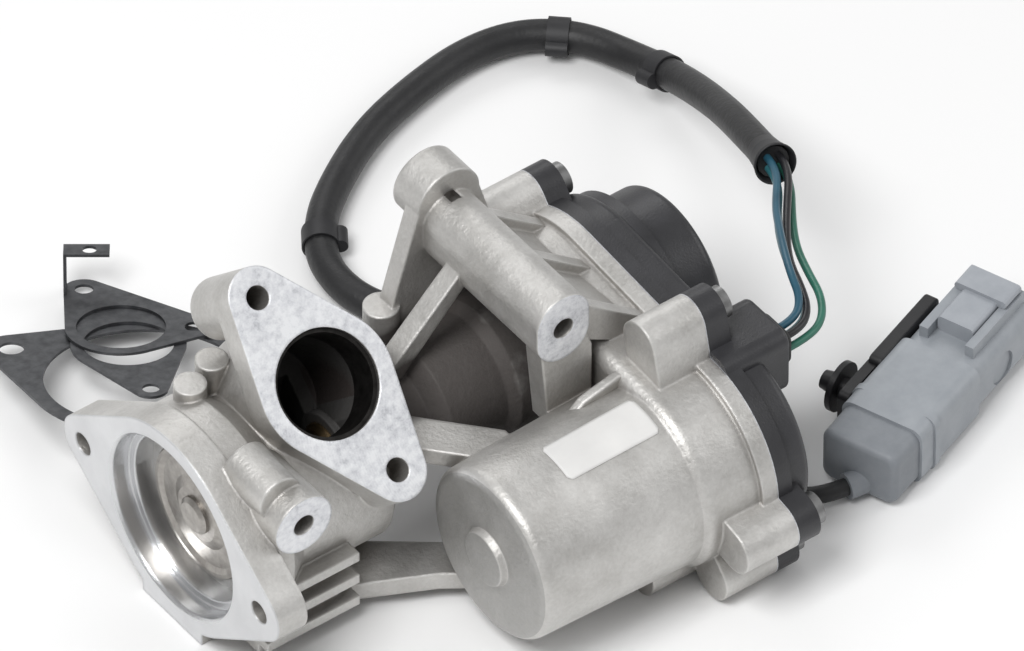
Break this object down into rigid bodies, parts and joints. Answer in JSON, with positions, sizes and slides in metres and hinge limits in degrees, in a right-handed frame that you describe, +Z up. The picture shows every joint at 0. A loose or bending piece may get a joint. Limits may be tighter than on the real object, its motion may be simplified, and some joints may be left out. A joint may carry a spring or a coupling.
{
  "type": "EGR valve",
  "caption": "Electric EGR valve: cast housing with two gas flanges, barrel-cam drive, motor, plastic cover, lead with connector and loose gaskets.",
  "frame": {"origin": "centre of the outlet bore at the outlet flange's face", "axes": "+X along the valve stem from the outlet flange to the gear cover, -Y to the front where the motor is, +Z up"},
  "size_m": [0.2417, 0.2203, 0.0957],
  "materials": {
    "cast_aluminium": "sand-cast, satin",
    "valve_steel": "satin",
    "seat_steel": "satin",
    "guide_bronze": "satin",
    "seal_rubber": "matte",
    "sleeve_steel": "satin",
    "hardened_steel": "polished",
    "bearing_steel": "polished",
    "gear_plastic": "satin",
    "spring_steel": "satin",
    "ferrite": "matte",
    "plated_steel": "satin",
    "bush_bronze": "satin",
    "lamination_steel": "matte",
    "copper": "satin",
    "brush_carbon": "matte",
    "cover_plastic": "fine grain",
    "screw_steel": "satin",
    "board_resin": "satin",
    "wire_black": "satin",
    "wire_blue": "satin",
    "wire_green": "satin",
    "wire_teal": "satin",
    "sleeve_plastic": "satin",
    "tape": "matte",
    "cap_plastic": "satin",
    "connector_plastic": "satin",
    "lock_plastic": "satin",
    "terminal_brass": "satin",
    "clip_plastic": "satin",
    "gasket_steel": "dark coated"
  },
  "bodies": {
    "root": {"valve_housing": "cast_aluminium", "valve_seat": "seat_steel", "stem_guide": "guide_bronze", "stem_seal": "seal_rubber", "inlet_sleeve": "sleeve_steel", "track_sleeve": "hardened_steel", "barrel_bearings": "bearing_steel", "return_spring": "spring_steel", "intermediate_pin": "hardened_steel", "motor_case": "plated_steel", "motor_bushes": "bush_bronze", "motor_magnets": "ferrite", "motor_brushes": "brush_carbon", "motor_end_plate": "plated_steel", "motor_screws": "screw_steel", "motor_disc_spring": "spring_steel", "gear_cover": "cover_plastic", "cover_seal": "seal_rubber", "ear_sleeves": "plated_steel", "cover_screws": "screw_steel", "sensor_board": "board_resin", "wire_grommet": "seal_rubber", "lead_wire_black": "wire_black", "lead_wire_blue": "wire_blue", "lead_wire_green": "wire_green", "lead_wire_teal": "wire_teal", "harness_sleeve": "sleeve_plastic", "harness_tail": "sleeve_plastic", "tape_wraps": "tape", "connector_cap": "cap_plastic", "connector_body": "connector_plastic", "connector_terminals": "terminal_brass", "mounting_clip": "clip_plastic", "outlet_gasket": "gasket_steel", "inlet_gasket": "gasket_steel", "cooler_gasket": "gasket_steel"},
    "output": {"output_gear": "hardened_steel", "spring_hub": "gear_plastic", "sensor_magnet": "ferrite"},
    "intermediate": {"intermediate_gear": "gear_plastic"},
    "rotor": {"motor_shaft": "hardened_steel", "motor_armature": "lamination_steel", "motor_commutator": "copper", "motor_pinion": "hardened_steel"},
    "valve": {"valve_stem": "valve_steel", "valve_disc": "valve_steel", "cam_pin": "hardened_steel", "cam_rollers": "hardened_steel"},
    "lock": {"connector_lock": "lock_plastic"}
  },
  "joints": [
    {"name": "output_turn", "type": "hinge", "parent": "root", "child": "output", "pos_m": [0.1, 0, 0], "axis": [1, 0, 0], "range_deg": [0, 90]},
    {"name": "intermediate_turn", "type": "hinge", "parent": "root", "child": "intermediate", "pos_m": [0.126, -0.03052, -0.00545], "axis": [1, 0, 0], "range_deg": [-308.58, 0]},
    {"name": "motor_turn", "type": "hinge", "parent": "root", "child": "rotor", "pos_m": [0.09, -0.056, -0.003], "axis": [1, 0, 0], "range_deg": [0, 1337.15]},
    {"name": "valve_lift", "type": "slide", "parent": "root", "child": "valve", "axis": [-1, 0, 0], "range_m": [0, 0.006]},
    {"name": "lock_slide", "type": "slide", "parent": "root", "child": "lock", "axis": [-0.9373, -0.3486, 0], "range_m": [0, 0.003]}
  ],
  "couplings": [
    {"joint": "intermediate_turn", "follows": "output_turn", "ratio": -3.4286},
    {"joint": "motor_turn", "follows": "output_turn", "ratio": 14.857},
    {"joint": "valve_lift", "follows": "output_turn", "m_per_rad": 0.0038197}
  ]
}
